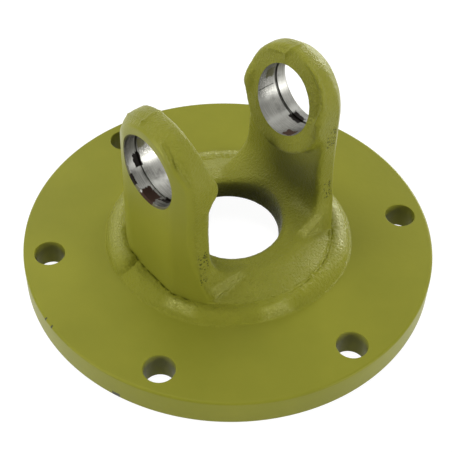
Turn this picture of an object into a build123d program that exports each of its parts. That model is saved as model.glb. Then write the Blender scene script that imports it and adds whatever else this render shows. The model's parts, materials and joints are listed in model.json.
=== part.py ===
# Flange yoke of an agricultural driveshaft: a forged fork welded onto a round bolting flange.
#
# Millimetres. The origin is the centre of the flange's underside and +Z runs up the shaft's own
# axis. +X runs along the cross bores, so the two ears stand at +X and -X.

import os
from math import radians, tan
from build123d import *

# Flange plate, turned from plate
flange_diameter = 190.0
flange_thickness = 14.0
flange_edge_break = 1.2
pilot_bore_diameter = 80.0
pilot_edge_break = 1.0
bolt_hole_diameter = 14.0
bolt_edge_distance = 12.0
bolt_count = 6

# Cross bores and their snap ring grooves, through both ears
bore_diameter = 32.0
bore_height = 66.0
groove_setback = 7.0
groove_width = 1.6
groove_depth = 0.85
bore_mouth_break = 0.8

# Ears: a round boss about each bore, faired into a thinner web. The fairing's arc would end a
# little inside the web, so the two meet in a shallow crease.
boss_diameter = 49.0
boss_length = 16.2
boss_draft = 11.5
crown_rise = 0.2
outer_bevel_axial = 6.0
outer_bevel_radial = 4.2
inner_bevel = 1.0
fairing_radius = 3.5
fairing_sink = 0.6
web_thickness = 14.5
forged_edge_radius = 3.0

# Flanks of the ears, which spread toward the hub
foot_spread = 5.5
foot_height = 8.0
flank_height = 42.0

# Hub with the flats milled across it, the saddle between the ears and the hole in its middle
hub_diameter = 95.0
flat_depth = 2.5
hub_wall_height = 4.5
saddle_height = 11.0
saddle_radius = 15.5
shoulder_width = 13.5
center_hole_diameter = 46.4
center_hole_draft = 7.5
center_lip_break = 1.5
center_edge_break = 1.5

# Weld bead between the hub and the flange
weld_flange_leg = 11.5
weld_height = 5.0

# Sizes that follow from the ones above
flange_radius = flange_diameter / 2
pilot_radius = pilot_bore_diameter / 2
bolt_circle_radius = flange_radius - bolt_edge_distance
hub_radius = hub_diameter / 2
rim_radius = hub_radius - shoulder_width
face_x = hub_radius - flat_depth
boss_x = face_x - boss_length
web_x = face_x - web_thickness
bevel_x = face_x - outer_bevel_axial
groove_x = face_x - groove_setback
boss_radius = boss_diameter / 2
foot_y = boss_radius + foot_spread
bore_radius = bore_diameter / 2
groove_radius = bore_radius + groove_depth
seat_z = flange_thickness
saddle_z = seat_z + saddle_height
bore_z = seat_z + bore_height
crown_z = bore_z + boss_radius + crown_rise
top_z = crown_z + forged_edge_radius
boss_slope = tan(radians(boss_draft))
hole_slope = tan(radians(center_hole_draft))
bore_axis = Axis((0, 0, bore_z), (1, 0, 0))

# How near to a plane an edge or a face counts as lying on it
close = 0.01

os.makedirs("parts", exist_ok=True)


# Flange plate: a turned disc with a pilot bore and a circle of bolt holes
with BuildPart() as flange_plate:
    with BuildSketch(Plane.XZ) as plate_section:
        with Locations((pilot_radius, 0)):
            Rectangle(flange_radius - pilot_radius, flange_thickness, align=(Align.MIN, Align.MIN))
        chamfer(plate_section.vertices().group_by(Axis.X)[0], pilot_edge_break)
        chamfer(plate_section.vertices().group_by(Axis.X)[-1], flange_edge_break)
    revolve(axis=Axis.Z)
    with BuildSketch(Plane.XY) as bolt_holes:
        with PolarLocations(bolt_circle_radius, bolt_count, start_angle=180 / bolt_count):
            Circle(bolt_hole_diameter / 2)
    extrude(amount=flange_thickness, mode=Mode.SUBTRACT)
flange_plate.part.label = "flange_plate"


# Boss of the +X ear: a barrel turned about the bore's axis that sweeps out into the web
with BuildPart() as ear_boss:
    nose_x = boss_x - boss_slope * hub_radius
    root_x = web_x + fairing_sink
    root_z = bore_z - boss_radius - fairing_radius
    with BuildSketch(Plane.XZ) as barrel_section:
        with BuildLine():
            center_line = Line((bevel_x, bore_z), (nose_x, bore_z))
            nose = Line(center_line @ 1, (nose_x, bore_z - boss_radius))
            barrel = Line(nose @ 1, (root_x - fairing_radius, bore_z - boss_radius))
            fairing = TangentArc(barrel @ 1, (root_x, root_z), tangent=(1, 0))
            Polyline(fairing @ 1, (bevel_x, root_z), center_line @ 0)
        make_face()
    revolve(axis=bore_axis)

    # Its inner face leans outward toward the crown by the forging's draft
    with BuildSketch(Plane.XZ) as drafted_side:
        with BuildLine():
            Polyline(
                (nose_x, bore_z - hub_radius),
                (bevel_x, bore_z - hub_radius),
                (bevel_x, bore_z + hub_radius),
                (boss_x + boss_slope * hub_radius, bore_z + hub_radius),
                close=True,
            )
        make_face()
    extrude(amount=hub_radius, both=True, mode=Mode.INTERSECT)

    # Seen from the end it has the ear's width and a crown slightly peaked where the dies parted
    with BuildSketch(Plane.YZ) as boss_outline:
        with BuildLine():
            boss_side = Line((boss_radius, bore_z - hub_radius), (boss_radius, bore_z))
            TangentArc(boss_side @ 1, (0, crown_z), tangent=(0, 1))
            Line(boss_side @ 0, (0, bore_z - hub_radius))
            mirror(about=Plane.YZ)
        make_face()
    extrude(amount=bevel_x, mode=Mode.INTERSECT)

    inner_face = ear_boss.faces().filter_by(GeomType.PLANE).filter_by(lambda f: f.normal_at().X < -0.9)
    chamfer(inner_face.edges(), inner_bevel)
    side_edges = ear_boss.edges().filter_by(lambda e: abs((e @ 0.5).Y) > boss_radius - close)
    fillet(side_edges.filter_by(GeomType.BSPLINE), forged_edge_radius)


# Yoke forging: webs, saddle and hub in one piece, with the outside turned and the ears bored
with BuildPart() as yoke_forging:

    # The U of the two webs and the saddle between them
    with BuildSketch(Plane.XZ) as side_profile:
        with BuildLine():
            base = Line((0, seat_z), (face_x, seat_z))
            face = Line(base @ 1, (face_x, top_z))
            top = Line(face @ 1, (bevel_x, top_z))
            upper_web = Line(top @ 1, (web_x, bore_z))
            lower_web = Line(upper_web @ 1, (web_x, saddle_z + saddle_radius))
            corner = TangentArc(lower_web @ 1, (web_x - saddle_radius, saddle_z), tangent=(0, -1))
            Line(corner @ 1, (0, saddle_z))
            mirror(about=Plane.YZ)
        make_face()
    extrude(amount=hub_radius, both=True)

    # Flanks that spread toward the hub, with the same crown as the boss
    with BuildSketch(Plane.YZ) as front_profile:
        with BuildLine():
            sole = Line((0, seat_z), (foot_y, seat_z))
            foot = Line(sole @ 1, (foot_y, seat_z + foot_height))
            flank = TangentArc((boss_radius, seat_z + flank_height), foot @ 1, tangent=(0, -1))
            upright = Line(flank @ 0, (boss_radius, bore_z))
            TangentArc(upright @ 1, (0, crown_z), tangent=(0, 1))
            mirror(about=Plane.YZ)
        make_face()
    extrude(amount=hub_radius, both=True, mode=Mode.INTERSECT)

    for outer_face in yoke_forging.faces().filter_by(lambda f: abs(f.center().X) > face_x - close):
        crown_edges = outer_face.edges().filter_by(lambda e: e.center().Z > bore_z)
        chamfer(crown_edges, outer_bevel_radial, outer_bevel_axial, reference=outer_face)

    inside = yoke_forging.faces().filter_by(lambda f: abs(f.center().X) < web_x and abs(f.center().Y) < close)
    inside = inside.filter_by(lambda f: f.center().Z > seat_z + close)
    fillet(inside.edges().filter_by(lambda e: abs(e.center().Y) > bore_radius), forged_edge_radius)

    add(ear_boss.part)
    mirror(ear_boss.part, about=Plane.YZ)

    # The turned outside
    with BuildSketch(Plane.XY.offset(seat_z)) as turned_outside:
        Circle(hub_radius)
    extrude(amount=top_z - seat_z, mode=Mode.INTERSECT)

    # The hub's round shoulder, with a flat milled across it below each ear
    with BuildSketch(Plane.XZ) as hub_section:
        with BuildLine():
            Polyline(
                (0, seat_z),
                (hub_radius, seat_z),
                (hub_radius, seat_z + hub_wall_height),
                (rim_radius, saddle_z),
                (0, saddle_z),
                close=True,
            )
        make_face()
    revolve(axis=Axis.Z)
    with BuildSketch(Plane.XY.offset(seat_z)) as milled_faces:
        Rectangle(2 * face_x, hub_diameter)
    extrude(amount=top_z - seat_z, mode=Mode.INTERSECT)

    # Rounded feet where the flanks run out onto the shoulder
    shoulder = yoke_forging.faces().filter_by(GeomType.CONE).filter_by(lambda f: f.center().Z < saddle_z)
    curved = shoulder.edges().filter_by(lambda e: e.geom_type not in (GeomType.CIRCLE, GeomType.LINE))
    fillet(curved, forged_edge_radius)

    # Hole through the saddle, narrowing downward by its draft, with its edge broken all round
    with BuildSketch(Plane.XZ) as hole_section:
        with BuildLine():
            hole_radius = center_hole_diameter / 2
            mouth_z = saddle_z + saddle_radius
            mouth_radius = hole_radius + hole_slope * (mouth_z - seat_z)
            Polyline(
                (0, seat_z),
                (hole_radius + center_edge_break, seat_z),
                (hole_radius, seat_z + center_edge_break),
                (mouth_radius, mouth_z),
                (0, mouth_z),
                close=True,
            )
        make_face()
    revolve(axis=Axis.Z, mode=Mode.SUBTRACT)
    lip = yoke_forging.edges().filter_by(lambda e: saddle_z - close < (e @ 0.5).Z < mouth_z)
    lip = lip.filter_by(lambda e: Vector((e @ 0.5).X, (e @ 0.5).Y).length < mouth_radius)
    chamfer(lip.filter_by(GeomType.LINE, reverse=True), center_lip_break)

    # Cross bores with their grooves, turned about one axis through both ears
    with BuildSketch(Plane.XZ) as bore_section:
        with BuildLine():
            Polyline(
                (0, bore_z),
                (0, bore_z + bore_radius),
                (groove_x, bore_z + bore_radius),
                (groove_x, bore_z + groove_radius),
                (groove_x + groove_width, bore_z + groove_radius),
                (groove_x + groove_width, bore_z + bore_radius),
                (face_x - bore_mouth_break, bore_z + bore_radius),
                (face_x, bore_z + bore_radius + bore_mouth_break),
                (face_x, bore_z),
                close=True,
            )
            mirror(about=Plane.YZ)
        make_face()
    revolve(axis=bore_axis, mode=Mode.SUBTRACT)
yoke_forging.part.label = "yoke_forging"


# Weld bead: a convex fillet all round the hub, closing against the hub's own outline
with BuildPart() as weld_bead:
    shoulder_run = (hub_radius - rim_radius) / (saddle_height - hub_wall_height)
    joint_radius = hub_radius - shoulder_run * (weld_height - hub_wall_height)
    with BuildSketch(Plane.XZ) as bead_section:
        with BuildLine():
            joint = (joint_radius, seat_z + weld_height)
            bead_face = TangentArc(joint, (hub_radius + weld_flange_leg, seat_z), tangent=(1, 0))
            Polyline(bead_face @ 1, (rim_radius, seat_z), joint)
        make_face()
    revolve(axis=Axis.Z)
    add(yoke_forging.part, mode=Mode.SUBTRACT)
weld_bead.part.label = "weld_bead"

export_step(flange_plate.part, "parts/flange_plate.step")
export_step(yoke_forging.part, "parts/yoke_forging.step")
export_step(weld_bead.part, "parts/weld_bead.step")
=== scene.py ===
# %% [markdown]
# # A flange yoke, from forging to paint
#
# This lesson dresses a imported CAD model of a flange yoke: a forged fork, welded onto a round plate with
# six bolt holes. The real part is made in five steps, and the lesson takes the same ones. A fork is
# forged between two dies, which leaves a scaly skin and soft edges. Its ears are bored and grooved. It is
# welded onto a turned plate by hand. The whole thing is painted olive green with plugs in the bores, so
# the bores stay bare.

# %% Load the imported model
import json
from math import atan2, cos, degrees, exp, hypot, pi, radians, sin

import bpy
from mathutils import Matrix, Vector, noise


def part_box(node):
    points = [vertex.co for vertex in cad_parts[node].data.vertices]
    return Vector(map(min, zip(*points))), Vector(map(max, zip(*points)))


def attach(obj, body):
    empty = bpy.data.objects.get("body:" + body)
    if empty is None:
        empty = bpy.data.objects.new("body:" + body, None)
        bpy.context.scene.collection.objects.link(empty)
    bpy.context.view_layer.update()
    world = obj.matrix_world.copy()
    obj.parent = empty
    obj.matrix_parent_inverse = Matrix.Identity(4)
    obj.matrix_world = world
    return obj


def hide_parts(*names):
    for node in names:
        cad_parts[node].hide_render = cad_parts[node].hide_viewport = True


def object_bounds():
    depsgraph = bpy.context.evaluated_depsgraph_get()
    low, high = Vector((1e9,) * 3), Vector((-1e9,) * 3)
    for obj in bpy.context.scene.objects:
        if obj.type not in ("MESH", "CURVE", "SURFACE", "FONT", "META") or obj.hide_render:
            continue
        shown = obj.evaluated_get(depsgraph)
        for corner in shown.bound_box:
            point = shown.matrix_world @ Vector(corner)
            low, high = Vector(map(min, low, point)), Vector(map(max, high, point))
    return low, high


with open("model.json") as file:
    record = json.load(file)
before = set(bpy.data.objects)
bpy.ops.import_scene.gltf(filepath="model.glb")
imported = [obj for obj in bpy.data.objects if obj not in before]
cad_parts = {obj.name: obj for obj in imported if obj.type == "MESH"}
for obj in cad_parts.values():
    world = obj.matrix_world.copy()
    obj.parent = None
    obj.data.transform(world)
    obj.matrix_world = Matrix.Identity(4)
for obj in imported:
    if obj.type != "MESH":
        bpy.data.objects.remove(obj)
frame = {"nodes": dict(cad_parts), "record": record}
cad_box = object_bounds()
size_of_cad = [round(value * 1000, 1) for value in cad_box[1] - cad_box[0]]
print("CAD model, in millimetres:", size_of_cad)

# %% [markdown]
# ## Places that everything else is measured from
#
# The frame is the CAD model's own: metres, +Z up the driveshaft's axis, +X along the cross bores. The
# plate's top and the hub's outline come from the CAD nodes' boxes, so the pieces made here fit them. The
# cross bores, the pilot bore and the bolt holes are read from the mounts that the record states.

# %% Measure the frame
MM = 0.001
plate_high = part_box("flange_plate")[1]
yoke_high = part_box("yoke_forging")[1]

PLATE_RADIUS = plate_high.x
PLATE_TOP = plate_high.z
FACE_X = yoke_high.x
HUB_RADIUS = yoke_high.y

mounts = {mount["name"]: mount for mount in frame["record"]["mounts"]}
BORE_RADIUS = mounts["cross_bore"]["dims"]["r_mm"] * MM
BORE_Z = mounts["cross_bore"]["pos_m"][2]
PILOT_RADIUS = mounts["pilot_bore"]["dims"]["r_mm"] * MM
BOLT_CIRCLE = mounts["flange_bolts"]["dims"]["pcd_mm"] * MM / 2
BOLT_RADIUS = mounts["flange_bolts"]["dims"]["hole_r_mm"] * MM
BOLT_COUNT = mounts["flange_bolts"]["dims"]["count"]
print("plate radius", PLATE_RADIUS, "bore height", BORE_Z, "hub radius", HUB_RADIUS)

# %% [markdown]
# ## The camera comes first
#
# Every later choice is judged through the camera, so it is set before anything is modelled. A turntable
# shot has four numbers: how far round the object it stands, how high, how far away, and the lens. The last
# degree or two of roll and a small shift match the way the photograph is framed.

# %% Place the camera
VIEW_TURN = radians(40.9)
VIEW_HEIGHT = radians(46.846)
VIEW_ROLL = radians(1.808)
VIEW_DISTANCE = 0.50006
VIEW_LENS = 85.208
VIEW_SHIFT = (-0.00562, 0.01697)
SENSOR_WIDTH = 36
CLIP_START = 0.01

back = Vector((
    -sin(VIEW_TURN) * cos(VIEW_HEIGHT),
    -cos(VIEW_TURN) * cos(VIEW_HEIGHT),
    sin(VIEW_HEIGHT),
))
right = Vector((cos(VIEW_TURN), -sin(VIEW_TURN), 0))
up = back.cross(right)
rolled_right = cos(VIEW_ROLL) * right + sin(VIEW_ROLL) * up
rolled_up = cos(VIEW_ROLL) * up - sin(VIEW_ROLL) * right

camera_data = bpy.data.cameras.new("camera")
camera_data.lens = VIEW_LENS
camera_data.sensor_width = SENSOR_WIDTH
camera_data.shift_x, camera_data.shift_y = VIEW_SHIFT
camera_data.clip_start = CLIP_START
camera = bpy.data.objects.new("camera", camera_data)
bpy.context.scene.collection.objects.link(camera)
turn = Matrix((rolled_right, rolled_up, back)).transposed().to_4x4()
camera.matrix_world = Matrix.Translation(Vector((0, 0, PLATE_TOP)) + back * VIEW_DISTANCE) @ turn
bpy.context.scene.camera = camera
print("camera at", [round(value, 3) for value in camera.matrix_world.translation])

# %% [markdown]
# ## A few tools for the bench
#
# Operators act on whatever is selected, so each step first says which piece it works on. These helpers
# keep that in one place: they take one piece, choose some of its faces, or add a modifier and apply it at
# once. The two soft curves at the end shape everything that has no hard edge.

# %% Helpers for operators and modifiers


def take(piece):
    """Selects one piece and nothing else."""
    bpy.ops.object.select_all(action="DESELECT")
    piece.select_set(True)
    bpy.context.view_layer.objects.active = piece


def added(name):
    """Names the primitive that was just added and sets its place into its mesh."""
    piece = bpy.context.object
    piece.name = name
    piece.data.name = name
    bpy.ops.object.transform_apply(location=True, rotation=True, scale=True)
    return piece


def pick_faces(piece, wanted):
    """Selects the faces for which wanted(face) is true, and no others."""
    for edge in piece.data.edges:
        edge.select = False
    for vertex in piece.data.vertices:
        vertex.select = False
    for face in piece.data.polygons:
        face.select = bool(wanted(face))
    return sum(face.select for face in piece.data.polygons)


def modify(piece, kind, **settings):
    """Adds a modifier, sets it and applies it."""
    take(piece)
    modifier = piece.modifiers.new(kind.lower(), kind)
    for key, value in settings.items():
        setattr(modifier, key, value)
    bpy.ops.object.modifier_apply(modifier=modifier.name)


def cut(piece, tool, **settings):
    """Takes the tool's volume away from the piece, and the tool away from the scene."""
    modify(piece, "BOOLEAN", object=tool, operation="DIFFERENCE", **settings)
    bpy.data.objects.remove(tool)


def smooth(piece, angle):
    """Shades a piece smooth, apart from edges sharper than the angle."""
    take(piece)
    bpy.ops.object.shade_smooth_by_angle(angle=radians(angle))


def ease(value, low, high):
    """0 below low, 1 above high, and a soft step between them."""
    share = min(max((value - low) / (high - low), 0), 1)
    return share * share * (3 - 2 * share)


def hill(value, middle, width):
    """1 at the middle, falling softly to almost nothing two widths away."""
    return exp(-((value - middle) / width) ** 2)


def say(piece):
    """Prints what a piece came to."""
    size = [round(value * 1000, 1) for value in piece.dimensions]
    print(piece.name, "has", len(piece.data.polygons), "faces and measures", size, "mm")


# %% [markdown]
# ## The plate
#
# The real plate is cut from bar or sheet, faced on a lathe and drilled. A cylinder is the right start, and
# each tool that cuts it is a cylinder too. The order matters: the rim is rounded before the holes are
# drilled, because the paint softens the rim more than it softens the edges of the small holes. A
# weighted normal at the end keeps the large flat faces flat in the light.

# %% Turn the plate
PLATE_SIDES = 288
RIM_ROUND = 1.2 * MM
SHARP_EDGE = radians(60)

bpy.ops.object.select_all(action="DESELECT")
bpy.ops.mesh.primitive_cylinder_add(
    vertices=PLATE_SIDES, radius=PLATE_RADIUS, depth=PLATE_TOP, location=(0, 0, PLATE_TOP / 2)
)
plate = added("painted_plate")
modify(plate, "BEVEL", width=RIM_ROUND, segments=4, limit_method="ANGLE", angle_limit=SHARP_EDGE)

# %% Bore and drill the plate
PILOT_SIDES = 144
BOLT_SIDES = 64
FIRST_BOLT = radians(30)
HOLE_ROUND = 0.5 * MM


def drill(name, radius, x, y, sides):
    """A cylinder that stands right through the plate."""
    bpy.ops.object.select_all(action="DESELECT")
    bpy.ops.mesh.primitive_cylinder_add(
        vertices=sides, radius=radius, depth=PLATE_TOP * 2, location=(x, y, PLATE_TOP / 2)
    )
    return added(name)


cut(plate, drill("pilot_tool", PILOT_RADIUS, 0, 0, PILOT_SIDES), solver="EXACT")
for number in range(BOLT_COUNT):
    angle = FIRST_BOLT + number * 2 * pi / BOLT_COUNT
    tool = drill("bolt_tool", BOLT_RADIUS, BOLT_CIRCLE * cos(angle), BOLT_CIRCLE * sin(angle), BOLT_SIDES)
    cut(plate, tool, solver="EXACT")
modify(plate, "BEVEL", width=HOLE_ROUND, segments=3, limit_method="ANGLE", angle_limit=SHARP_EDGE)
smooth(plate, 40)
modify(plate, "WEIGHTED_NORMAL", keep_sharp=True)
say(plate)
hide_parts("flange_plate")
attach(plate, "root")

# %% [markdown]
# ## The forging's body
#
# The CAD node already has the fork's main shape, with its saddle, draft and bosses, so a copy of it is the
# blank, as nothing drawn anew would fit it better. What it lacks is a forging's skin: edges left soft,
# and a surface that is never quite flat. A voxel remesh gives the copy an even net of small faces, which
# can then be moved. The bores are machined after forging, so their walls are taken off first, the
# openings are filled, and they are cut again at the very end with crisp edges.

# %% Copy the fork and close its bores
VOXEL = 0.64 * MM
GROOVE_REACH = 0.95 * MM
SAME_POINT = 0.002 * MM

forging = frame["nodes"]["yoke_forging"].copy()
forging.data = forging.data.copy()
forging.name = "painted_forging"
forging.data.name = "painted_forging"
forging.parent = None
for key in list(forging.keys()):
    del forging[key]
bpy.context.scene.collection.objects.link(forging)

take(forging)
bpy.ops.object.mode_set(mode="EDIT")
bpy.ops.mesh.select_all(action="SELECT")
bpy.ops.mesh.remove_doubles(threshold=SAME_POINT)
bpy.ops.object.mode_set(mode="OBJECT")


def on_bore_wall(face):
    """True for a face whose corners all lie on the wall of a cross bore or in its groove."""
    corners = [forging.data.vertices[index].co for index in face.vertices]
    reach = max(hypot(corner.y, corner.z - BORE_Z) for corner in corners)
    return reach < BORE_RADIUS + GROOVE_REACH


print("bore faces taken off:", pick_faces(forging, on_bore_wall))
bpy.ops.object.mode_set(mode="EDIT")
bpy.ops.mesh.delete(type="FACE")
bpy.ops.mesh.select_all(action="SELECT")
bpy.ops.mesh.fill_holes(sides=0)
bpy.ops.object.mode_set(mode="OBJECT")
modify(forging, "REMESH", mode="VOXEL", voxel_size=VOXEL)
modify(forging, "SMOOTH", factor=0.5, iterations=1)
say(forging)

# %% [markdown]
# ## Worn corners and soft crowns
#
# Two kinds of edge are softer on the real fork than on a drawing. The turned outside meets each milled flat
# in a corner that handling and paint have worn round, and the bevel over each ear's crown runs softly into
# the ear. A modifier's bevel would round them evenly from end to end. A weight on each point lets the
# smoothing fade out on every side instead, and leaves the other points where they are.

# %% Soften the corners and the crowns
CORNER_Y = (HUB_RADIUS ** 2 - FACE_X ** 2) ** 0.5
CORNER_WIDTH = 3 * MM
CORNER_DEPTH = 4 * MM
CROWN_X = FACE_X - 5 * MM
CROWN_WIDTH = 4 * MM
CROWN_FROM, CROWN_FULL = BORE_Z + 8 * MM, BORE_Z + 20 * MM
LEAST_WEIGHT = 0.05

corners = forging.vertex_groups.new(name="worn_corners")
for vertex in forging.data.vertices:
    if abs(vertex.co.x) > FACE_X - CORNER_DEPTH:
        corners.add([vertex.index], hill(abs(vertex.co.y), CORNER_Y, CORNER_WIDTH), "REPLACE")
modify(forging, "SMOOTH", factor=0.9, iterations=30, vertex_group="worn_corners")

crowns = forging.vertex_groups.new(name="soft_crowns")
for vertex in forging.data.vertices:
    weight = hill(abs(vertex.co.x), CROWN_X, CROWN_WIDTH) * ease(vertex.co.z, CROWN_FROM, CROWN_FULL)
    if weight > LEAST_WEIGHT:
        crowns.add([vertex.index], weight, "REPLACE")
modify(forging, "SMOOTH", factor=0.9, iterations=14, vertex_group="soft_crowns")
print("corners softened near y =", round(CORNER_Y / MM, 1), "mm")

# %% [markdown]
# ## Skin and scale
#
# Forged faces are rough because scale is pressed into them, and the turned ones are smooth. So each point
# gets a share of roughness from where it lies: none on the milled flats, the turned outside and the
# underside, all of it on the flanks, the saddle and the shoulder. Two sizes of noise move the points
# along their normals: slow waves from the die, and grain. Bump in the material could show the grain, but
# not the uneven outline.

# %% Describe the forged skin
WAVE = (0.20 * MM, 9 * MM)
GRAIN = (0.11 * MM, 1.8 * MM)
# how far from a machined face the skin starts, and over what distance it grows
SKIN_START = 0.4 * MM
SKIN_RUN = 1.2 * MM


def forged_share(place):
    """0 on a machined face, 1 on a forged one."""
    from_flat = abs(abs(place.x) - FACE_X)
    from_turned = abs(hypot(place.x, place.y) - HUB_RADIUS)
    from_seat = abs(place.z - PLATE_TOP)
    nearest = min(from_flat, from_turned, from_seat)
    return min(max(nearest - SKIN_START, 0) / SKIN_RUN, 1)


# %% [markdown]
# ## Marks of the dies
#
# Where the two dies met, a trimmed seam runs over each crown. Metal that folded as it filled the die left
# lips and furrows beside the bosses, and the fork's feet end in a ridge on the shoulder. Each mark is a
# ridge or a furrow along a few points. Sculpting could do the same by hand, but a list of points is
# easier to read and to move.

# %% Describe the marks
# height and half width of each mark, then the points it runs through, all in millimetres
CROWN_SEAMS = [
    (0.60, 0.7, [
        (-43.6, 4.6, 100.4), (-42.1, 4.7, 102.0), (-39.2, 4.1, 104.5), (-35, 4.1, 104.5), (-32.6, 3, 101),
    ]),
    (0.55, 0.7, [(-39.6, 18.6, 95.2), (-40.5, 15.9, 97.3), (-41.5, 9.9, 100.6), (-42.1, 4.7, 102.0)]),
    (0.60, 0.7, [
        (32.2, 4.0, 97.2), (32.9, 4.6, 100), (33.4, 3.1, 102.4), (34.7, 1.4, 104.6), (41, 0.6, 104.4),
    ]),
    (0.55, 0.7, [(32.3, 14.8, 97), (32.5, 12.8, 98.1), (32.8, 8.1, 99.7), (33, 4.6, 100.4)]),
]
BOSS_LIPS = [
    (1.00, 0.8, [(-42.8, -8.5, 100.2), (-43.2, -11.5, 98.4), (-43.5, -14.3, 95.9), (-44, -16.8, 92.7)]),
    (-0.45, 1.1, [(-42.3, -10.5, 99.6), (-42.7, -13.4, 97.6), (-42.9, -16.4, 94.9), (-43, -19.1, 91)]),
    (1.00, 0.8, [(-41.8, -15.9, 96.1), (-41.5, -18.6, 93.1), (-40.5, -22.1, 87.7)]),
    (1.00, 0.8, [
        (33.4, -9.3, 101.9), (33.2, -14, 99.6), (32.8, -18.4, 95.8), (31.3, -22, 89.7), (29.1, -22.3, 81.2),
    ]),
    (-0.60, 0.9, [
        (33.2, -8.2, 100.8), (33, -12.4, 98.9), (32, -17, 94.6), (30.9, -19.9, 89.1), (29, -20.3, 82),
    ]),
]
FOOT_RIDGES = [
    (0.90, 0.9, [(-36.5, -30, 21.4), (-30.1, -30.3, 21.8), (-22.8, -31, 23.1), (-15.5, -31.8, 24.3)]),
    (0.80, 0.9, [(16.9, -30.6, 24.4), (22.3, -29.4, 24.8), (27.5, -28.5, 26.8), (32.2, -27.9, 29.3)]),
    (1.30, 3.0, [(-34, -28, 22.6), (-28.5, -27.8, 23), (-22, -28.4, 24.2), (-16.5, -29.2, 25)]),
    (1.10, 3.0, [(17.5, -28, 25.2), (22, -26.8, 25.8), (26.8, -26, 27.6), (31, -25.6, 30)]),
]

marks = []
for height, width, points in CROWN_SEAMS + BOSS_LIPS + FOOT_RIDGES:
    marks.append((height * MM, width * MM, [Vector(point) * MM for point in points]))


def off_line(place, points):
    """The distance from a place to the nearest point of a broken line."""
    nearest = 1.0
    for start, end in zip(points, points[1:]):
        run = end - start
        share = min(max((place - start).dot(run) / run.length_squared, 0), 1)
        nearest = min(nearest, (place - start - share * run).length)
    return nearest


def near_line(place, points, margin):
    """Whether a place lies in the box round a broken line, which is quick to find out."""
    for axis in range(3):
        low = min(point[axis] for point in points) - margin
        high = max(point[axis] for point in points) + margin
        if not low < place[axis] < high:
            return False
    return True


def skin_height(place):
    """How far the skin stands out at a place."""
    height = WAVE[0] * noise.noise(place / WAVE[1]) + GRAIN[0] * noise.noise(place / GRAIN[1])
    for rise, width, points in marks:
        if near_line(place, points, 3 * width):
            height += rise * hill(off_line(place, points), 0, width)
    return height


# %% [markdown]
# ## The bulge beside each bore
#
# The boss's inner rim isn't flat: level with the bore it stands a little further into the gap between the
# ears, toward both flanks. A separate lump could be joined on, but the rim has no edge there, so its
# points are moved straight along X, by a height that fades out on every side.

# %% Press in the skin, the marks and the bulge
BULGE = 1.8 * MM
# the angle from straight up where it is highest and half its spread, in degrees
BULGE_TURN, BULGE_SPREAD = 92, 16
# the radii where it starts, is full and ends, and how far from the middle plane it reaches and fades
BULGE_FROM, BULGE_FULL, BULGE_END = 18 * MM, 22 * MM, 27 * MM
BULGE_X, BULGE_FADE = 34 * MM, 5 * MM


def boss_bulge(place):
    """How far the boss's inner rim stands toward the gap, beside the bore."""
    around = degrees(atan2(abs(place.y), place.z - BORE_Z))
    reach = hypot(place.y, place.z - BORE_Z)
    if abs(place.x) > BULGE_X or not BORE_RADIUS < reach < BULGE_END:
        return 0
    rise = BULGE * hill(around, BULGE_TURN, BULGE_SPREAD) * ease(reach, BULGE_FROM, BULGE_FULL)
    return rise * ease(BULGE_X - abs(place.x), 0, BULGE_FADE)


normals = [vertex.normal.copy() for vertex in forging.data.vertices]
for vertex, normal in zip(forging.data.vertices, normals):
    share = forged_share(vertex.co)
    if share:
        bulge = boss_bulge(vertex.co)
        vertex.co += normal * share * skin_height(vertex.co)
        vertex.co.x -= bulge * (1 if vertex.co.x > 0 else -1)
print("skin pressed into", len(normals), "points")

# %% [markdown]
# ## Boring the ears
#
# A boring bar makes the bore, its snap ring groove and the chamfer at its mouth in one setting, which is
# the same thing as one turned cutter. It starts as a circle and is drawn out along the bore's axis
# ring by ring. The cutter brings its own material, and the boolean hands it to the faces it cuts,
# so the bore is bare steel right up to the paint.

# %% Build the boring tool
GROOVE_X = 38.1 * MM
GROOVE_WIDTH = 1.4 * MM
GROOVE_DEPTH = 0.85 * MM
MOUTH_BREAK = 0.8 * MM
OVERRUN = 2 * MM
TOOL_START = 0.3 * FACE_X
BORE_SIDES = 160


def boring_tool(side):
    """The solid that one ear's bore, groove and mouth leave, for the ear at side * X."""
    rings = [
        (GROOVE_X, BORE_RADIUS),
        (GROOVE_X, BORE_RADIUS + GROOVE_DEPTH),
        (GROOVE_X + GROOVE_WIDTH, BORE_RADIUS + GROOVE_DEPTH),
        (GROOVE_X + GROOVE_WIDTH, BORE_RADIUS),
        (FACE_X - MOUTH_BREAK, BORE_RADIUS),
        (FACE_X + OVERRUN, BORE_RADIUS + MOUTH_BREAK + OVERRUN),
    ]
    x, radius = TOOL_START, BORE_RADIUS
    bpy.ops.object.select_all(action="DESELECT")
    bpy.ops.mesh.primitive_circle_add(
        vertices=BORE_SIDES,
        radius=radius,
        fill_type="NGON",
        location=(side * x, 0, BORE_Z),
        rotation=(0, pi / 2, 0),
    )
    tool = added("boring_tool")
    bpy.ops.object.mode_set(mode="EDIT")
    bpy.ops.mesh.select_all(action="SELECT")
    for next_x, next_radius in rings:
        bpy.ops.mesh.extrude_region_move(TRANSFORM_OT_translate={"value": (side * (next_x - x), 0, 0)})
        ratio = next_radius / radius
        bpy.ops.transform.resize(value=(1, ratio, ratio), center_override=(0, 0, BORE_Z))
        x, radius = next_x, next_radius
    bpy.ops.mesh.select_all(action="SELECT")
    bpy.ops.mesh.normals_make_consistent(inside=False)
    bpy.ops.object.mode_set(mode="OBJECT")
    return tool


# %% Bore both ears
bare_steel = bpy.data.materials.new("bare_steel")
forging_paint = bpy.data.materials.new("paint_on_forging")
forging.data.materials.clear()
forging.data.materials.append(forging_paint)
for side in (-1, 1):
    tool = boring_tool(side)
    tool.data.materials.append(bare_steel)
    cut(forging, tool, solver="EXACT", material_mode="TRANSFER")
smooth(forging, 38)
say(forging)
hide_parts("yoke_forging")
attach(forging, "root")

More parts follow.
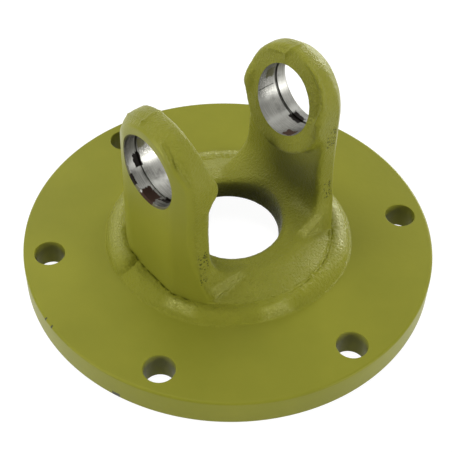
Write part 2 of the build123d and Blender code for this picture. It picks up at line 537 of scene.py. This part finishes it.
# %% [markdown]
# ## The weld bead
#
# The bead was laid by hand in one run round the hub, and it ends in a lump on top of its own start. Its
# section is a low dome that leans on the hub, and its width and height change as it goes round, with fine
# ripples across it and two blobs on it. Under the left ear the bead never fused with the milled flat,
# which leaves a thin dark gap, and at the front there is a shallower one. Blobs of clay merged into a
# ring would look as soft, but a height written as a formula keeps the ripples square to the run.

# %% Describe the bead round the hub


def round_the_hub(angle, stops):
    """A value that eases from stop to stop round the hub. Stops are degrees and values, in order."""
    angle %= 360
    before = [stop for stop in stops if stop[0] <= angle] or [(stops[-1][0] - 360, stops[-1][1])]
    after = [stop for stop in stops if stop[0] > angle] or [(stops[0][0] + 360, stops[0][1])]
    (start, low), (end, high) = before[-1], after[0]
    return low + (high - low) * ease(angle, start, end)


# angle round the hub in degrees, and the radius in millimetres where the bead ends on the plate
TOES = [
    (0, 56.6), (60, 56.6), (90, 56.8), (130, 56.6), (170, 55.8), (215, 55.2), (242, 54.0), (265, 54.6),
    (310, 56.6),
]
# angle in degrees, and the bead's height at the hub in millimetres
TOPS = [
    (0, 6.4), (25, 5.2), (90, 5.0), (135, 5.8), (156, 5.8), (185, 4.6), (205, 5.0), (300, 4.9), (330, 5.8),
]
# the two powers that round the section, and those that round the lump at the end
DOME = (2.4, 0.8)
END_DOME = (2.2, 0.6)
# height of the thin skirt round the toe, and how far it runs out
SKIRT = (0.3 * MM, 1.3 * MM)
# angle in degrees, radius, half width and height of each blob that the hand left on the bead
BLOBS = [(205.0, 51.2 * MM, 2.8 * MM, 0.9 * MM), (254.0, 51.8 * MM, 3.4 * MM, 0.8 * MM)]
# the ripples: pitch, height, how far they bow along the run, and the swing and size of their drift
RIPPLE_PITCH = 2.4 * MM
RIPPLE_HEIGHT = 0.035 * MM
RIPPLE_BOW = 0.8 * MM
RIPPLE_DRIFT = (3, 7 * MM)
# height and size of the unsteady hand's waves, and of the crumbs of slag
WAVER = (0.35 * MM, 5 * MM)
CRUMB = (0.20 * MM, 1.5 * MM)
# the lump at the end: from and to in degrees, then its radius, half width and height
END_FROM, END_TO = 110.0, 164.8
END_RADIUS = 49.8 * MM
END_WIDTH = 7.2 * MM
END_HEIGHT = 7.2 * MM
# where the bead stands off the hub: from and to in degrees, half width and depth
GAPS = [(158.0, 212.0, 0.24 * MM, 1.5 * MM), (262.0, 334.0, 0.24 * MM, 0.5 * MM)]
# the degrees over which a gap opens and closes
GAP_OPENS, GAP_CLOSES = 6, 12
# mean, swing and grain of a gap's depth, and its greatest value
GAP_MEAN, GAP_SWING, GAP_GRAIN, GAP_MOST = 0.7, 1.8, 2.2 * MM, 1.2
# keeps the flats' outline finite where it lies far outside the hub
LEAST_COSINE = 0.1


def hub_outline(angle):
    """The hub's radius at an angle in degrees, with a milled flat across each ear."""
    return min(HUB_RADIUS, FACE_X / max(abs(cos(radians(angle))), LEAST_COSINE))


def bead_height(angle, radius):
    """How high the bead stands over the plate at an angle in degrees and a radius in metres."""
    joint = hub_outline(angle)
    toe = round_the_hub(angle, TOES) * MM
    top = round_the_hub(angle, TOPS) * MM
    across = min(max((radius - joint) / (toe - joint), 0), 1)
    dome = (1 - across ** DOME[0]) ** DOME[1]
    full = min(dome * 2, 1)
    place = Vector((radius * cos(radians(angle)), radius * sin(radians(angle)), 0))
    along = radians(angle) * END_RADIUS + RIPPLE_BOW * across * across
    drift = RIPPLE_DRIFT[0] * noise.noise(place / RIPPLE_DRIFT[1])
    ripple = RIPPLE_HEIGHT * sin(2 * pi * along / RIPPLE_PITCH + drift)
    height = top * dome + ripple * full
    height += (WAVER[0] * noise.noise(place / WAVER[1]) + CRUMB[0] * noise.noise(place / CRUMB[1])) * dome
    for blob_angle, blob_radius, width, rise in BLOBS:
        off = hypot(radians(angle - blob_angle) * blob_radius, radius - blob_radius)
        height += rise * hill(off, 0, width) * full
    height = hypot(height, SKIRT[0] * (1 - ease(radius - toe, 0, SKIRT[1])))
    beyond = max(END_FROM - angle, angle - END_TO, 0)
    off = hypot(radians(beyond) * END_RADIUS, radius - END_RADIUS) / END_WIDTH
    if off < 1:
        height = max(height, END_HEIGHT * (1 - off ** END_DOME[0]) ** END_DOME[1] + ripple)
    for start, end, width, depth in GAPS:
        gap = ease(angle, start, start + GAP_OPENS) * (1 - ease(angle, end - GAP_CLOSES, end))
        gap *= min(max(GAP_MEAN + GAP_SWING * noise.noise(place / GAP_GRAIN), 0), GAP_MOST)
        height -= gap * depth * hill(radius, joint + width, width)
    return height


# %% [markdown]
# ## From a ring to a bead
#
# A circle spun round the hub gives the right kind of net: its rings stand square to the run, and they are
# close enough to carry the ripples. The upper half of each ring is pulled to the height just described,
# less a hair, and the lower half is laid flat a little below the plate's top. So the bead's edge dips into
# the plate, and no black line shows round it.

# %% Spin a ring and pull it into the bead
ROOT_RADIUS = 43 * MM
SKIRT_END = 58.0 * MM
SUNK = 0.3 * MM
TUCK = 0.06 * MM
RINGS, SECTION = 720, 96
RING_RADIUS = 50 * MM
STOCK_RADIUS = 10 * MM
RING_SEAM = 0.001 * MM
# a point at the plate's top counts as the upper half, whatever its last digit
HALFWAY = PLATE_TOP - 1e-7

bpy.ops.object.select_all(action="DESELECT")
bpy.ops.mesh.primitive_circle_add(
    vertices=SECTION, radius=STOCK_RADIUS, location=(RING_RADIUS, 0, PLATE_TOP), rotation=(pi / 2, 0, 0)
)
bead = added("painted_weld_bead")
bpy.ops.object.mode_set(mode="EDIT")
bpy.ops.mesh.select_all(action="SELECT")
bpy.ops.mesh.spin(steps=RINGS, angle=2 * pi, center=(0, 0, 0), axis=(0, 0, 1))
bpy.ops.mesh.select_all(action="SELECT")
bpy.ops.mesh.remove_doubles(threshold=RING_SEAM)
bpy.ops.object.mode_set(mode="OBJECT")
for vertex in bead.data.vertices:
    x, y, z = vertex.co
    angle = degrees(atan2(y, x)) % 360
    around = atan2(z - PLATE_TOP, hypot(x, y) - RING_RADIUS)
    if z >= HALFWAY:
        radius = SKIRT_END + (ROOT_RADIUS - SKIRT_END) * abs(around) / pi
        height = max(bead_height(angle, radius) - TUCK, -SUNK / 2)
    else:
        radius = SKIRT_END + (ROOT_RADIUS - SKIRT_END) * (0.5 - 0.5 * cos(around))
        height = -SUNK
    vertex.co = (radius * cos(radians(angle)), radius * sin(radians(angle)), PLATE_TOP + height)
take(bead)
bpy.ops.object.mode_set(mode="EDIT")
bpy.ops.mesh.select_all(action="SELECT")
bpy.ops.mesh.normals_make_consistent(inside=False)
bpy.ops.object.mode_set(mode="OBJECT")
smooth(bead, 60)
say(bead)
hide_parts("weld_bead")
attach(bead, "root")

# %% [markdown]
# ## Tools for node trees
#
# A shader is a small calculation. These helpers let each material read like one: values and sockets can
# both stand as inputs, and each call returns the socket that carries the result.

# %% Helpers for node trees


def feed(tree, target, value):
    """Links a socket to an input, or sets the input when the value is a plain one."""
    if isinstance(value, bpy.types.NodeSocket):
        tree.links.new(value, target)
    else:
        target.default_value = value


def math(tree, operation, *values):
    """A math node on sockets or numbers."""
    node = tree.nodes.new("ShaderNodeMath")
    node.operation = operation
    for target, value in zip(node.inputs, values):
        feed(tree, target, value)
    return node.outputs[0]


def step(tree, value, low, high, start=0.0, end=1.0):
    """A soft step from start, at low, to end, at high."""
    node = tree.nodes.new("ShaderNodeMapRange")
    node.interpolation_type = "SMOOTHSTEP"
    given = {"Value": value, "From Min": low, "From Max": high, "To Min": start, "To Max": end}
    for name, setting in given.items():
        feed(tree, node.inputs[name], setting)
    return node.outputs["Result"]


def noise_node(tree, vector, scale, detail=2.0, rough=0.5):
    """Noise from 0 to 1 at a vector, in cycles per metre."""
    node = tree.nodes.new("ShaderNodeTexNoise")
    feed(tree, node.inputs["Vector"], vector)
    node.inputs["Scale"].default_value = scale
    node.inputs["Detail"].default_value = detail
    node.inputs["Roughness"].default_value = rough
    return node.outputs[0]


def blend(tree, share, first, second):
    """One colour turning into another. A mix node's colours are its sockets 6, 7 and 2."""
    node = tree.nodes.new("ShaderNodeMix")
    node.data_type = "RGBA"
    feed(tree, node.inputs[0], share)
    feed(tree, node.inputs[6], first)
    feed(tree, node.inputs[7], second)
    return node.outputs[2]


def bump(tree, height, distance):
    """Turns a height from 0 to 1 into a normal."""
    node = tree.nodes.new("ShaderNodeBump")
    feed(tree, node.inputs["Height"], height)
    node.inputs["Distance"].default_value = distance
    return node.outputs["Normal"]


def new_group(name, inputs, outputs):
    """A node group with float inputs, vectors where named, and the given outputs."""
    group = bpy.data.node_groups.new(name, "ShaderNodeTree")
    for socket in inputs:
        kind = "NodeSocketVector" if socket == "Vector" else "NodeSocketFloat"
        group.interface.new_socket(socket, in_out="INPUT", socket_type=kind)
    for socket, kind in outputs.items():
        group.interface.new_socket(socket, in_out="OUTPUT", socket_type=kind)
    start = group.nodes.new("NodeGroupInput")
    end = group.nodes.new("NodeGroupOutput")
    return group, start.outputs, end.inputs


def use_group(tree, group, **inputs):
    """Places a group and returns its outputs by name."""
    node = tree.nodes.new("ShaderNodeGroup")
    node.node_tree = group
    for name, value in inputs.items():
        feed(tree, node.inputs[name.replace("_", " ")], value)
    return node.outputs


def open_material(material):
    """The node tree of a material, its Principled shader's inputs and its object coordinates."""
    material.use_nodes = True
    tree = material.node_tree
    place = tree.nodes.new("ShaderNodeTexCoord").outputs["Object"]
    return tree, tree.nodes["Principled BSDF"].inputs, place


def split(tree, place):
    """The X, Y and Z of a place, each as a socket."""
    node = tree.nodes.new("ShaderNodeSeparateXYZ")
    feed(tree, node.inputs[0], place)
    return node.outputs


def in_mm(tree, length):
    """A length socket in millimetres."""
    return math(tree, "MULTIPLY", length, 1 / MM)


def in_degrees(tree, angle):
    """An angle socket in degrees, from 0 to 360."""
    turned = math(tree, "MULTIPLY", angle, 180 / pi)
    return math(tree, "MODULO", math(tree, "ADD", turned, 360), 360)


def round_z(tree, x, y):
    """The distance from the Z axis, and the angle round it in degrees."""
    reach = math(tree, "SQRT", math(tree, "ADD", math(tree, "MULTIPLY", x, x), math(tree, "MULTIPLY", y, y)))
    return reach, in_degrees(tree, math(tree, "ARCTAN2", y, x))


# %% [markdown]
# ## Olive enamel
#
# The paint is a sprayed enamel: one strong colour and a satin gloss. A single colour would look like
# plastic. So a node group gives every painted material a slow drift of its tone, fine orange peel for
# smooth steel and a grain for rough steel, and each material takes what it needs. The photograph's
# highlights are yellowish, so one tint colours them all.

# %% The enamel group
HIGHLIGHT_TINT = (1.0, 0.98, 0.42, 1)
PAINT_DEEP = (0.212, 0.215, 0.020, 1)
PAINT_LIGHT = (0.236, 0.236, 0.023, 1)

enamel, inside, result = new_group(
    "enamel", ["Vector"], {"Color": "NodeSocketColor", "Peel": "NodeSocketFloat", "Grain": "NodeSocketFloat"}
)
drift = noise_node(enamel, inside["Vector"], scale=24, detail=4, rough=0.6)
tone = step(enamel, drift, low=0.3, high=0.7)
feed(enamel, result["Color"], blend(enamel, tone, PAINT_DEEP, PAINT_LIGHT))
feed(enamel, result["Peel"], noise_node(enamel, inside["Vector"], scale=520))
feed(enamel, result["Grain"], noise_node(enamel, inside["Vector"], scale=950, detail=3, rough=0.65))

# %% [markdown]
# ## Patches with a place
#
# Chips, wet paint, grease and rust all lie in a few known places. A mask painted by hand would be a picture
# file, so each patch is a soft box instead, in two measures such as a length and an angle. A second node
# group makes the mask of one patch, and a noise added to the distance makes its edge ragged.

# %% The group for one soft patch
PATCH_EDGE = 1.05
RAG = 1.3

patch, inside, result = new_group(
    "soft_patch",
    ["X", "Angle", "Rag", "Core", "Middle X", "Half X", "Middle Angle", "Half Angle"],
    {"Mask": "NodeSocketFloat"},
)
off_x = math(patch, "ABSOLUTE", math(patch, "SUBTRACT", inside["X"], inside["Middle X"]))
off_angle = math(patch, "ABSOLUTE", math(patch, "SUBTRACT", inside["Angle"], inside["Middle Angle"]))
share_x = math(patch, "DIVIDE", off_x, inside["Half X"])
share_angle = math(patch, "DIVIDE", off_angle, inside["Half Angle"])
reach = math(patch, "ADD", math(patch, "MAXIMUM", share_x, share_angle), inside["Rag"])
feed(patch, result["Mask"], step(patch, reach, inside["Core"], PATCH_EDGE, start=1.0, end=0.0))


def ragged(tree, place, scale):
    """A noise round 0 for the edges of patches."""
    grain = noise_node(tree, place, scale, detail=3, rough=0.6)
    return math(tree, "MULTIPLY", math(tree, "SUBTRACT", grain, 0.5), RAG)


def patches(tree, along, angle, rag, spots, core=0.85):
    """One mask for all the patches of a kind. Each is full up to the core and gone at its edge."""
    mask = 0.0
    names = ["Middle_X", "Half_X", "Middle_Angle", "Half_Angle"]
    for spot in spots:
        given = dict(zip(names, spot))
        one = use_group(tree, patch, X=along, Angle=angle, Rag=rag, Core=core, **given)["Mask"]
        mask = math(tree, "MAXIMUM", mask, one)
    return mask


# %% [markdown]
# ## Paint on the plate
#
# The plate is smooth under its paint, so it gets the fine peel only. Three chips on its rim show the dark
# steel: two small ones at the upper edge and one at the lower. They are in the colour, since a chip is as
# thin as the paint.

# %% Paint on the plate
CHIP = (0.050, 0.050, 0.038, 1)
# height in millimetres, half of it, angle round the plate in degrees, half its spread
CHIPS = [(13.4, 0.7, 173.6, 0.25), (13.4, 0.6, 176.8, 0.30), (1.5, 1.5, 200.6, 1.2)]
CHIPS_FROM, CHIPS_FULL = PLATE_RADIUS - 1.2 * MM, PLATE_RADIUS - 0.9 * MM
PEEL_DEPTH = 0.04 * MM

plate_paint = bpy.data.materials.new("paint_on_plate")
tree, shader, place = open_material(plate_paint)
coat = use_group(tree, enamel, Vector=place)
x, y, z = split(tree, place)
turned, angle = round_z(tree, x, y)
chips = patches(tree, in_mm(tree, z), angle, ragged(tree, place, scale=900), CHIPS)
chips = math(tree, "MULTIPLY", chips, step(tree, turned, CHIPS_FROM, CHIPS_FULL))
feed(tree, shader["Base Color"], blend(tree, chips, coat["Color"], CHIP))
feed(tree, shader["Normal"], bump(tree, coat["Peel"], PEEL_DEPTH))
shader["Roughness"].default_value = 0.4
shader["Specular IOR Level"].default_value = 0.2
shader["Specular Tint"].default_value = HIGHLIGHT_TINT
plate.data.materials.clear()
plate.data.materials.append(plate_paint)

# %% [markdown]
# ## Paint on the weld
#
# Paint runs together on a bead and stands thick and wet-looking on its blobs and its broad runs, while
# between them the slag's grain dulls it. So the bead gets the grain, and soft patches with no rag make the
# paint glossier where it is thick.

# %% Paint on the weld
# radius in millimetres, half width, angle in degrees, half its spread, where the paint is thick
WET = [
    (51.8, 3.2, 206, 11),
    (52.2, 3.0, 254, 11),
    (53.0, 5.0, 141, 33),
    (53.5, 4.0, 325, 30),
    (52.5, 4.0, 60, 50),
]
WET_CORE = 0.2
GRAIN_DEPTH = 0.7 * MM

bead_paint = bpy.data.materials.new("paint_on_weld")
tree, shader, place = open_material(bead_paint)
coat = use_group(tree, enamel, Vector=place)
x, y = split(tree, place)[:2]
turned, angle = round_z(tree, x, y)
wet = patches(tree, in_mm(tree, turned), angle, 0.0, WET, WET_CORE)
feed(tree, shader["Base Color"], coat["Color"])
feed(tree, shader["Normal"], bump(tree, coat["Grain"], GRAIN_DEPTH))
feed(tree, shader["Roughness"], step(tree, wet, 0, 1, start=0.38, end=0.24))
feed(tree, shader["Specular IOR Level"], step(tree, wet, 0, 1, start=0.16, end=0.7))
shader["Specular Tint"].default_value = HIGHLIGHT_TINT
bead.data.materials.clear()
bead.data.materials.append(bead_paint)

# %% [markdown]
# ## Pits on the flanks
#
# Where scale was pressed in and fell out, it left groups of small dark pits on the flanks. They are many
# and about half a millimetre wide, finer than the net can carry, so they are dots in the material: the
# middles of a pattern of cells, inside a few boxes, thinned out by a slower noise.

# %% Pits on the flanks
PIT_SHADE = (0.012, 0.012, 0.004, 1)
# from and to in X, then from and to in Z, in millimetres
PIT_BOXES = [((-38.5, -33.0), (30.0, 46.0)), ((33.5, 38.5), (36.0, 45.0)), ((33.5, 38.5), (66.0, 76.0))]
PITS_FULL, PITS_END = -24.5 * MM, -23.5 * MM
PIT_SCALE = 950


def scale_pits(tree, x, y, z, place):
    """1 in the small pits that scale left on the flanks toward -Y, in a few boxes of X and Z."""
    cells = tree.nodes.new("ShaderNodeTexVoronoi")
    feed(tree, cells.inputs["Vector"], place)
    cells.inputs["Scale"].default_value = PIT_SCALE
    dots = step(tree, cells.outputs["Distance"], low=0.26, high=0.40, start=1.0, end=0.0)
    inside = 0.0
    for (x_low, x_high), (z_low, z_high) in PIT_BOXES:
        in_x = math(tree, "COMPARE", x, (x_low + x_high) / 2 * MM, (x_high - x_low) / 2 * MM)
        in_z = math(tree, "COMPARE", z, (z_low + z_high) / 2 * MM, (z_high - z_low) / 2 * MM)
        inside = math(tree, "MAXIMUM", inside, math(tree, "MULTIPLY", in_x, in_z))
    inside = math(tree, "MULTIPLY", inside, step(tree, y, PITS_FULL, PITS_END, start=1.0, end=0.0))
    some = step(tree, noise_node(tree, place, scale=160), low=0.38, high=0.43)
    return math(tree, "MULTIPLY", math(tree, "MULTIPLY", dots, inside), some)


# %% [markdown]
# ## Paint on the forging
#
# The paint shows what lies under it: grain on the forged faces, coarsest low on the fork, and almost none
# on the machined ones. The wall of the centre hole is painted dark, as painted shade in the hole, and its
# gloss is lowered too. The paint ran together round the fork's feet, where it is glossy. Each of these is a
# mask made from X, Y and Z, so nothing has to be unwrapped.

# %% Paint on the forging
# X, half its width, Y and half its width, in millimetres, of the wet paint round the fork's feet
WET_FEET = [(-26.0, 11.0, -30.6, 2.2), (24.5, 9.0, -29.0, 2.4), (31.0, 8.0, -20.0, 9.0)]
FEET_CORE = 0.3
FEET_FULL, FEET_END = 30 * MM, 34 * MM
MACHINED_END, FORGED_FROM = 0.5 * MM, 1.5 * MM
MACHINED_GRAIN = 0.12
COARSE_END, COARSE_GONE = 22 * MM, 36 * MM
COARSE_GRAIN = 1.8
# the radii where the painted shade on the centre hole's wall is full and where it ends, and how dark it
# makes the colour
HOLE_FULL, HOLE_END = 23.6 * MM, 25.2 * MM
HOLE_SHADE_SHARE = 0.72
PIT_SHARE = 0.9

tree, shader, place = open_material(forging_paint)
x, y, z = split(tree, place)
turned = round_z(tree, x, y)[0]
from_turned = math(tree, "ABSOLUTE", math(tree, "SUBTRACT", turned, HUB_RADIUS))
from_flat = math(tree, "ABSOLUTE", math(tree, "SUBTRACT", math(tree, "ABSOLUTE", x), FACE_X))
nearest = math(tree, "MINIMUM", from_turned, from_flat)
forged = step(tree, nearest, MACHINED_END, FORGED_FROM, start=MACHINED_GRAIN, end=1.0)
coat = use_group(tree, enamel, Vector=place)
pits = scale_pits(tree, x, y, z, place)
# painted shade on the wall of the centre hole: its colour goes dark toward the pits' colour, and its gloss
# is lowered
deep = step(tree, turned, HOLE_FULL, HOLE_END, start=1.0, end=0.0)
in_pits = math(tree, "MULTIPLY", pits, PIT_SHARE)
hole_painted_shade = math(tree, "MULTIPLY", deep, HOLE_SHADE_SHARE)
shaded = math(tree, "MAXIMUM", in_pits, hole_painted_shade)
feed(tree, shader["Base Color"], blend(tree, shaded, coat["Color"], PIT_SHADE))

coarse = step(tree, z, COARSE_END, COARSE_GONE, start=COARSE_GRAIN, end=1.0)
rough = math(tree, "MULTIPLY", math(tree, "MULTIPLY", coat["Grain"], forged), coarse)
feed(tree, shader["Normal"], bump(tree, math(tree, "SUBTRACT", rough, pits), GRAIN_DEPTH))

wet = patches(tree, in_mm(tree, x), in_mm(tree, y), 0.0, WET_FEET, FEET_CORE)
wet = math(tree, "MULTIPLY", wet, step(tree, z, FEET_FULL, FEET_END, start=1.0, end=0.0))
feed(tree, shader["Roughness"], step(tree, wet, 0, 1, start=0.36, end=0.26))
dull = step(tree, deep, 0, 1, start=1.0, end=0.15)
gloss = math(tree, "MULTIPLY", dull, step(tree, wet, 0, 1, start=0.34, end=0.9))
feed(tree, shader["Specular IOR Level"], gloss)
shader["Specular Tint"].default_value = HIGHLIGHT_TINT

# %% [markdown]
# ## Bare steel in the bores
#
# The bores were finished with a boring bar, so fine lines run round them. Handling left dark grease and
# rust where the plugs sat, and some olive spray got past them. All of it is placed by two numbers, the
# distance along the bore and the angle round it, measured from the top. The bores show pale bands between
# dull ones, which plain steel under soft lamps wouldn't, so the steel's colour changes round the bore as
# well: painted reflections make the pale bands, and painted shade darkens the top and the -Y side of
# each bore.

# %% Steel with painted reflections and shade, grease, rust and overspray
STEEL_DARK = (0.050, 0.048, 0.042, 1)
STEEL_GREY = (0.225, 0.222, 0.20, 1)
STEEL_PALE = (0.42, 0.418, 0.385, 1)
DASH = (0.68, 0.67, 0.60, 1)
# the dark colour of the grease spots, also used for the painted shade line in the right bore's groove and
# for the dark axial line
GREASE_AND_SHADE_COLOUR = (0.016, 0.012, 0.009, 1)
RUST = (0.050, 0.026, 0.017, 1)
SPRAY = (0.10, 0.094, 0.025, 1)
# X in millimetres, half its width, angle from the top in degrees, half its spread. A spread of 500 is a
# whole ring.
GREASE_SPOTS = [(-39.3, 1.9, 115, 12), (-44.7, 1.1, 139, 10), (-39.3, 1.6, 203, 11), (39.0, 2.5, 178, 13)]
RUST_SPOTS = [(-42.6, 3.7, 174, 16), (28.6, 2.3, 203, 12)]
SPRAY_SPOTS = [(-36.0, 2.0, 88, 10), (35.2, 2.4, 82, 10), (-45.1, 0.9, 180, 500), (45.1, 0.9, 180, 500)]
# a thin dark line along the right bore, at one angle
AXIAL_LINES = [(32.0, 5.0, 106.5, 0.9)]
# a painted shade line round the right bore's groove, whose floor lies in shadow
SHADE_LINES = [(38.8, 0.45, 180, 500)]
DASH_SPOTS = [(32.0, 5.5, 112, 14), (32.0, 5.0, 90, 12), (-34.0, 4.0, 110, 20)]
# the angle and half width, in degrees, of the two pale bands, which are painted reflections
SHINE = [(121, 12.6), (160, 10.8)]
# how much of the steel the spray, the painted shade line in the groove and the dark axial line each hide
SPRAY_SHARE = 0.75
SHADE_SHARE = 0.75
AXIAL_LINE_SHARE = 0.7
# how closely the turning lines lie: cycles per millimetre along the bore, cycles per metre across it
LINES_ALONG, LINES_ACROSS = 3.0, 90
LINE_DEPTH = 0.03 * MM

tree, shader, place = open_material(bare_steel)
x, y, z = split(tree, place)
rise = math(tree, "SUBTRACT", z, BORE_Z)
angle = in_degrees(tree, math(tree, "ARCTAN2", y, rise))
along = in_mm(tree, x)
lines = tree.nodes.new("ShaderNodeCombineXYZ")
feed(tree, lines.inputs[0], math(tree, "MULTIPLY", along, LINES_ALONG))
feed(tree, lines.inputs[1], math(tree, "MULTIPLY", y, LINES_ACROSS))
feed(tree, lines.inputs[2], math(tree, "MULTIPLY", rise, LINES_ACROSS))
turning = noise_node(tree, lines.outputs[0], scale=1.0, detail=3, rough=0.7)
blotches = noise_node(tree, place, scale=130, detail=4, rough=0.7)

# painted shade: the steel is dark over the top and the -Y side of each bore, and grey between the +Y side
# and the bottom
painted_shade_lifts = step(tree, angle, low=60, high=108)
painted_shade_returns = step(tree, angle, low=175, high=225, start=1.0, end=0.0)
steel = blend(tree, math(tree, "MULTIPLY", painted_shade_lifts, painted_shade_returns), STEEL_DARK, STEEL_GREY)
# painted reflections: two pale bands round each bore
for middle, half in SHINE:
    off = math(tree, "ABSOLUTE", math(tree, "SUBTRACT", angle, middle))
    steel = blend(tree, step(tree, off, 0, half, start=0.8, end=0.0), steel, STEEL_PALE)
# the bore toward +X is made paler all over
steel = blend(tree, step(tree, along, low=0, high=30, start=0.0, end=0.22), steel, STEEL_PALE)
steel = blend(tree, step(tree, turning, low=0.4, high=0.62, start=0.0, end=0.5), steel, STEEL_PALE)
steel = blend(tree, step(tree, blotches, low=0.45, high=0.75, start=0.0, end=0.5), steel, STEEL_DARK)

# %% Dirt and painted shade on the steel
rag = ragged(tree, place, scale=700)
crisp = math(tree, "MULTIPLY", rag, 0.55)
specks = noise_node(tree, place, scale=1500, detail=2, rough=0.7)
dashes = step(tree, specks, low=0.56, high=0.62, start=0.0, end=0.75)
dashes = math(tree, "MULTIPLY", dashes, patches(tree, along, angle, rag, DASH_SPOTS, core=0.3))
shade = math(tree, "MULTIPLY", patches(tree, along, angle, rag, SHADE_LINES), SHADE_SHARE)
axial_line = math(tree, "MULTIPLY", patches(tree, along, angle, rag, AXIAL_LINES), AXIAL_LINE_SHARE)
# one mask for the grease spots, the painted shade line in the groove and the dark axial line
grease_and_shade = math(tree, "MAXIMUM", patches(tree, along, angle, crisp, GREASE_SPOTS), shade)
grease_and_shade = math(tree, "MAXIMUM", grease_and_shade, axial_line)
rust = patches(tree, along, angle, rag, RUST_SPOTS)
spray = patches(tree, along, angle, rag, SPRAY_SPOTS)

colour = blend(tree, dashes, steel, DASH)
colour = blend(tree, math(tree, "MULTIPLY", spray, SPRAY_SHARE), colour, SPRAY)
colour = blend(tree, rust, colour, RUST)
colour = blend(tree, grease_and_shade, colour, GREASE_AND_SHADE_COLOUR)
dirt_and_shade = math(tree, "MAXIMUM", math(tree, "MAXIMUM", grease_and_shade, rust), math(tree, "MULTIPLY", spray, 0.8))
feed(tree, shader["Base Color"], colour)
feed(tree, shader["Metallic"], math(tree, "SUBTRACT", 1.0, dirt_and_shade))
feed(tree, shader["Roughness"], step(tree, dirt_and_shade, 0, 1, start=0.44, end=0.6))
feed(tree, shader["Specular IOR Level"], step(tree, dirt_and_shade, 0, 1, start=0.5, end=0.1))
feed(tree, shader["Normal"], bump(tree, turning, LINE_DEPTH))

# %% [markdown]
# ## A plain studio
#
# The photograph has a white background and soft light from all sides. A floor lit until it is white would
# spill too much light on the part. So a Light Path node tells the rays apart: to the camera and in
# reflections the floor is mostly a white glow and the world is white, and for all other light the floor is
# plain and pale and the world is black.

# %% Floor and world
BACKDROP_SHARE = 0.8
BACKDROP_GLOW = 1.2
FLOOR_GREY = 0.8
FLOOR_SIZE = 6
SKY = 0.0


def seen_directly(tree):
    """1 for rays from the camera, from reflections and through glass, 0 for light on the object."""
    path = tree.nodes.new("ShaderNodeLightPath").outputs
    seen = math(tree, "MAXIMUM", path["Is Camera Ray"], path["Is Glossy Ray"])
    return math(tree, "MAXIMUM", seen, path["Is Transmission Ray"])


bpy.ops.object.select_all(action="DESELECT")
bpy.ops.mesh.primitive_plane_add(size=FLOOR_SIZE)
floor = added("floor")
floor_paint = bpy.data.materials.new("floor")
tree, shader = open_material(floor_paint)[:2]
shader["Base Color"].default_value = (FLOOR_GREY, FLOOR_GREY, FLOOR_GREY, 1)
shader["Roughness"].default_value = 1.0
shader["Specular IOR Level"].default_value = 0.0
glow = tree.nodes.new("ShaderNodeEmission")
glow.inputs["Strength"].default_value = BACKDROP_GLOW
mix = tree.nodes.new("ShaderNodeMixShader")
feed(tree, mix.inputs[0], math(tree, "MULTIPLY", seen_directly(tree), BACKDROP_SHARE))
tree.links.new(tree.nodes["Principled BSDF"].outputs[0], mix.inputs[1])
tree.links.new(glow.outputs[0], mix.inputs[2])
tree.links.new(mix.outputs[0], tree.nodes["Material Output"].inputs["Surface"])
floor.data.materials.append(floor_paint)

world = bpy.data.worlds.new("studio")
bpy.context.scene.world = world
world.use_nodes = True
tree = world.node_tree
sky = tree.nodes["Background"]
sky.inputs["Color"].default_value = (1, 1, 1, 1)
feed(tree, sky.inputs["Strength"], step(tree, seen_directly(tree), 0, 1, SKY, 1.0))

# %% [markdown]
# ## Six soft lamps
#
# Three lamps stand low round the part and light its upright faces. Two weaker ones stand higher behind it
# and catch the far rims, and a wide one overhead lights the plate. One strong lamp would leave a hard
# shadow and a dark side. All are square and large for their distance, so the shadows are soft.

# %% Soft lamps
LAMP_DISTANCE = 1.5
AIM = Vector((0, 0, 0.04))
# name, turn and rise in degrees, size in metres and power in watts
LAMPS = [
    ("front", 289, 10, 0.5, 13.4),
    ("left", 169, 10, 0.5, 11.8),
    ("right", 19, 10, 0.5, 13.2),
    ("back_left", 109, 60, 0.5, 4.8),
    ("back", 79, 35, 0.5, 4.0),
    ("overhead", 90, 85, 0.9, 10.4),
]


def softbox(name, turn, rise, size, power):
    """A square area light at a turn and a rise in degrees, which looks at the middle of the part."""
    data = bpy.data.lights.new(name, "AREA")
    data.shape = "SQUARE"
    data.size = size
    data.energy = power
    light = bpy.data.objects.new(name, data)
    flat = LAMP_DISTANCE * cos(radians(rise))
    high = LAMP_DISTANCE * sin(radians(rise))
    light.location = AIM + Vector((flat * cos(radians(turn)), flat * sin(radians(turn)), high))
    light.rotation_euler = (AIM - light.location).to_track_quat("-Z", "Y").to_euler()
    bpy.context.scene.collection.objects.link(light)


for lamp in LAMPS:
    softbox(*lamp)
print("lamps:", [lamp[0] for lamp in LAMPS])

bpy.context.scene.view_settings.view_transform = "Standard"
